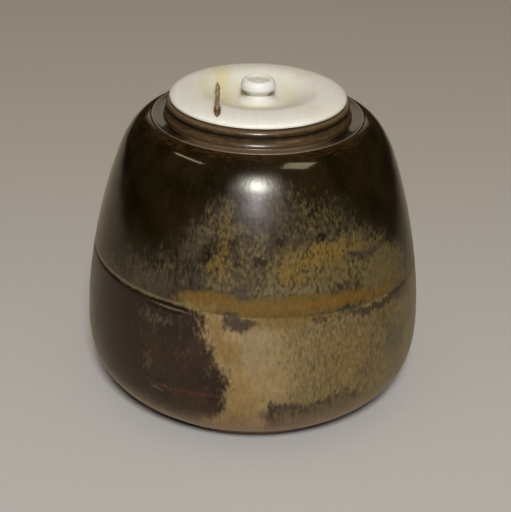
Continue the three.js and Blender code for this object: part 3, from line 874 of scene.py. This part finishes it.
offset = calc(tree, "ABSOLUTE", calc(tree, "MULTIPLY_ADD", calc(tree, "SUBTRACT", rag, 0.5), 0.7, local_x))
across = calc(tree, "DIVIDE", offset, narrow)
past_plug = ramp(tree, radius, PLUG_RADIUS - 0.2, PLUG_RADIUS - 0.05)
upward = ramp(tree, calc(tree, "SUBTRACT", height, past_plug), SEAT_HEIGHT - 0.9, SEAT_HEIGHT - 0.7)
opened = calc(tree, "MULTIPLY", ramp(tree, across, 1.15, 0.8), upward)
core = calc(tree, "MULTIPLY", ramp(tree, across, 0.5, 0.15), ramp(tree, rag, 0.45, 0.6))
hollow = blend(tree, tint(118, 100, 70), tint(84, 66, 42), ramp(tree, local_y, -2, -5.5))
hollow = blend(tree, hollow, tint(170, 152, 124), core)
halo = calc(tree, "MULTIPLY", ramp(tree, across, 2.2, 0.9, 0, 0.35), upward)
cream = blend(tree, cream, tint(190, 166, 122), halo)
cream = blend(tree, cream, hollow, opened)
fill(surface, Base_Color=cream, Roughness=calc(tree, "MULTIPLY_ADD", figure, 0.12, 0.36),
     Specular_IOR_Level=0.25, Subsurface_Weight=0.25, Subsurface_Radius=(0.0012, 0.0009, 0.0006),
     Subsurface_Scale=1)
turning = grain(tree, where.outputs["Streaks"], 0.3, (60, 60, 1), 6, strength=1.5)
add_bump(tree, surface, calc(tree, "MULTIPLY_ADD", figure, 0.5, turning), 0.03, 0.4)
finish_piece("tea_lid", lid_shell, "lid", "lid", [ivory])

# Lining
# A disc of paper covered with gold leaf, pasted under the lid inside the plug.
LINING_RADIUS = 13.05
LINING_THICKNESS = 0.3
LINING_EDGE = 0.08
LINING_STEPS = 144
CREASE_DEPTH = 0.1
LEAF_SIZE = (11, 9)  # of one sheet of gold leaf
LEAF_LAP = 0.25

low = LINING_SEAT - LINING_THICKNESS
lining_line = [Vector((0, low))]
lining_line += straight(lining_line[-1], Vector((LINING_RADIUS - LINING_EDGE, low)), 40)
lining_line += [Vector((LINING_RADIUS, low + LINING_EDGE)), Vector((LINING_RADIUS, LINING_SEAT)),
                Vector((0, LINING_SEAT))]
lining_shell = turned("lining", lining_line, LINING_STEPS)
for corner in lining_shell.verts:
    if corner.co.z < low + 0.01 and corner.co.xy.length < LINING_RADIUS - 0.2:
        crease = noise.noise(Vector((corner.co.x / 2.2, corner.co.y / 3.5, 1)))
        corner.co.z += CREASE_DEPTH * (1 - abs(crease)) ** 6

gold, tree, surface, position = new_material("Gold leaf on paper")
mm = in_mm(tree, position)
leaf = tree.nodes.new("ShaderNodeTexBrick")
leaf.offset = 0.5
fill(leaf, Vector=mm, Scale=1, Brick_Width=LEAF_SIZE[0], Row_Height=LEAF_SIZE[1], Mortar_Size=LEAF_LAP,
     Mortar_Smooth=0.6, Mortar=tint(198, 148, 66), Color1=tint(214, 170, 86), Color2=tint(226, 184, 100))
worn = grain(tree, mm, 1.4, (1, 1, 1), 12, detail=5, strength=2)
rubbed = ramp(tree, worn, 0.7, 1, 0, 0.7)
fill(surface, Base_Color=blend(tree, leaf.outputs["Color"], tint(170, 118, 60), rubbed), Metallic=1,
     Roughness=calc(tree, "MULTIPLY_ADD", worn, 0.2, 0.28))
crinkle = grain(tree, mm, 0.7, (1, 1, 1), 21, detail=5, strength=2)
add_bump(tree, surface, calc(tree, "MULTIPLY_ADD", leaf.outputs["Fac"], 0.6, crinkle), 0.06, 0.6)
finish_piece("gold_lining", lining_shell, "lid", "gold_leaf_lining", [gold])

# Floor
# Grey-beige paper laid flat under the jar. Where the glaze mirrors it, it is painted warmer, lit in a
# painted pool near the jar and in painted shade beyond.
FLOOR_HALF = 3000
LIT_MIDDLE = -75  # to the left
LIT_HALF_WIDTH = (110, 290)
LIT_BACK = (350, 650)

paper_stuff, tree, surface, position = new_material("Backdrop paper")
mm = in_mm(tree, position)
tooth = grain(tree, mm, 1.2, (1, 1, 1), 2, detail=4)
x, y, _ = split(tree, mm)
aside = calc(tree, "ABSOLUTE", calc(tree, "SUBTRACT", x, LIT_MIDDLE))
dim = calc(tree, "MAXIMUM", ramp(tree, aside, *LIT_HALF_WIDTH), ramp(tree, y, *LIT_BACK))
mirrored = tree.nodes.new("ShaderNodeLightPath").outputs["Is Glossy Ray"]
paper = blend(tree, tint(178, 172, 165), tint(184, 178, 171), tooth)
# Painted light: the paper is painted warmer towards the back, for the room's warm light there
paper = blend(tree, paper, tint(181, 171, 158), ramp(tree, y, -50, 200))
# Painted reflection: glossy rays see the paper warmer, and in painted shade outside the lit pool
paper = blend(tree, paper, tint(174, 160, 138), mirrored)
in_shade = calc(tree, "MULTIPLY", dim, mirrored)
fill(surface, Base_Color=blend(tree, paper, tint(41, 34, 23), in_shade), Roughness=0.9,
     Specular_IOR_Level=0.2)

floor_shell = bmesh.new()
bmesh.ops.create_grid(floor_shell, x_segments=1, y_segments=1, size=FLOOR_HALF * MM)
floor_mesh = bpy.data.meshes.new("floor")
floor_shell.to_mesh(floor_mesh)
floor_shell.free()
floor_mesh.materials.append(paper_stuff)
floor = bpy.data.objects.new("floor", floor_mesh)
bpy.context.scene.collection.objects.link(floor)

# Light
# A lamp above and behind the camera gives the bright spot on the shoulder, and a grey card under it the
# sheen below the spot. A diffuser at the lamp's place lights everything, a wide soft light fills from
# above, and two lamps on the ceiling give the two glints near the arris.
CEILING_HEIGHT = 558
COOL = (0.92, 0.955, 1.0)
WARM = (1.0, 0.86, 0.62)


def lamp(name, shape, size, location, target, watts, colour, turn=0.0, lights=True, mirrored=True):
    """A soft lamp that lights surfaces, shows in glossy ones, or both."""
    light = bpy.data.lights.new(name, "AREA")
    light.shape = shape
    light.size = size[0] * MM
    light.size_y = size[1] * MM
    light.energy = watts
    light.color = colour
    thing = bpy.data.objects.new(name, light)
    place = Vector(location) * MM
    aim = (Vector(target) * MM - place).to_track_quat("-Z", "Y").to_matrix().to_4x4()
    thing.matrix_world = Matrix.Translation(place) @ aim @ Matrix.Rotation(math.radians(turn), 4, "Z")
    thing.visible_camera = False
    thing.visible_diffuse = lights
    thing.visible_glossy = mirrored
    bpy.context.scene.collection.objects.link(thing)


lamp("front_lamp", "ELLIPSE", (78, 104), (22, -732, 622), (0, 0, 30), 14, COOL, lights=False)
lamp("grey_card", "ELLIPSE", (84, 84), (14, -793, 356), (0, 0, 50), 2.2, (0.86, 0.82, 1.1), lights=False)
lamp("front_diffuser", "DISK", (180, 180), (27, -737, 608), (0, 0, 30), 10.5, COOL, mirrored=False)
lamp("soft_fill", "RECTANGLE", (1500, 1500), (0, -200, 1500), (0, 0, 0), 5.2, (1.0, 0.84, 0.62),
     mirrored=False)
lamp("ceiling_panel", "RECTANGLE", (178, 162), (235, -101, CEILING_HEIGHT), (235, -101, 0), 0.38, WARM,
     turn=1, lights=False)
lamp("ceiling_tube", "RECTANGLE", (38, 290), (-420, -12, CEILING_HEIGHT), (-420, -12, 0), 0.19, WARM,
     turn=30, lights=False)

world = bpy.data.worlds.new("Dim room")
world.use_nodes = True
tree = world.node_tree
sky = tree.nodes.new("ShaderNodeTexCoord")
x, y, z = split(tree, sky.outputs["Generated"])
room = blend(tree, tint(49, 40, 25), tint(29, 21, 6), ramp(tree, z, 0.0, 0.3))
# A pale wall behind the jar, which the shelf round the neck mirrors
behind = calc(tree, "MULTIPLY", ramp(tree, z, 0.2, 0.3), ramp(tree, z, 0.56, 0.42))
behind = calc(tree, "MULTIPLY", ramp(tree, calc(tree, "ABSOLUTE", x), 0.42, 0.26), behind)
behind = calc(tree, "MULTIPLY", behind, ramp(tree, y, 0.0, 0.5))
room = blend(tree, room, (0.85, 0.7, 0.55, 1), behind)
fill(tree.nodes["Background"], Color=room)
bpy.context.scene.world = world
bpy.context.scene.view_settings.view_transform = "Standard"

# Camera
# It looks a little down on the jar, as the photograph does.
CAMERA_ELEVATION = 26.27
CAMERA_DISTANCE = 328.9
CAMERA_TARGET = Vector((0.35, 0, 28.25))
CAMERA_ROLL = 1.6
CAMERA_LENS = 112.5
SENSOR_WIDTH = 36
camera_data = bpy.data.cameras.new("camera")
camera_data.lens = CAMERA_LENS
camera_data.sensor_width = SENSOR_WIDTH
camera_data.clip_start = 0.01
camera = bpy.data.objects.new("camera", camera_data)
bpy.context.scene.collection.objects.link(camera)
elevation = math.radians(CAMERA_ELEVATION)
back = Vector((0, -math.cos(elevation), math.sin(elevation)))
camera.matrix_world = (Matrix.Translation((CAMERA_TARGET + CAMERA_DISTANCE * back) * MM)
                       @ Matrix.Rotation(math.radians(90) - elevation, 4, "X")
                       @ Matrix.Rotation(math.radians(CAMERA_ROLL), 4, "Z"))
bpy.context.scene.camera = camera
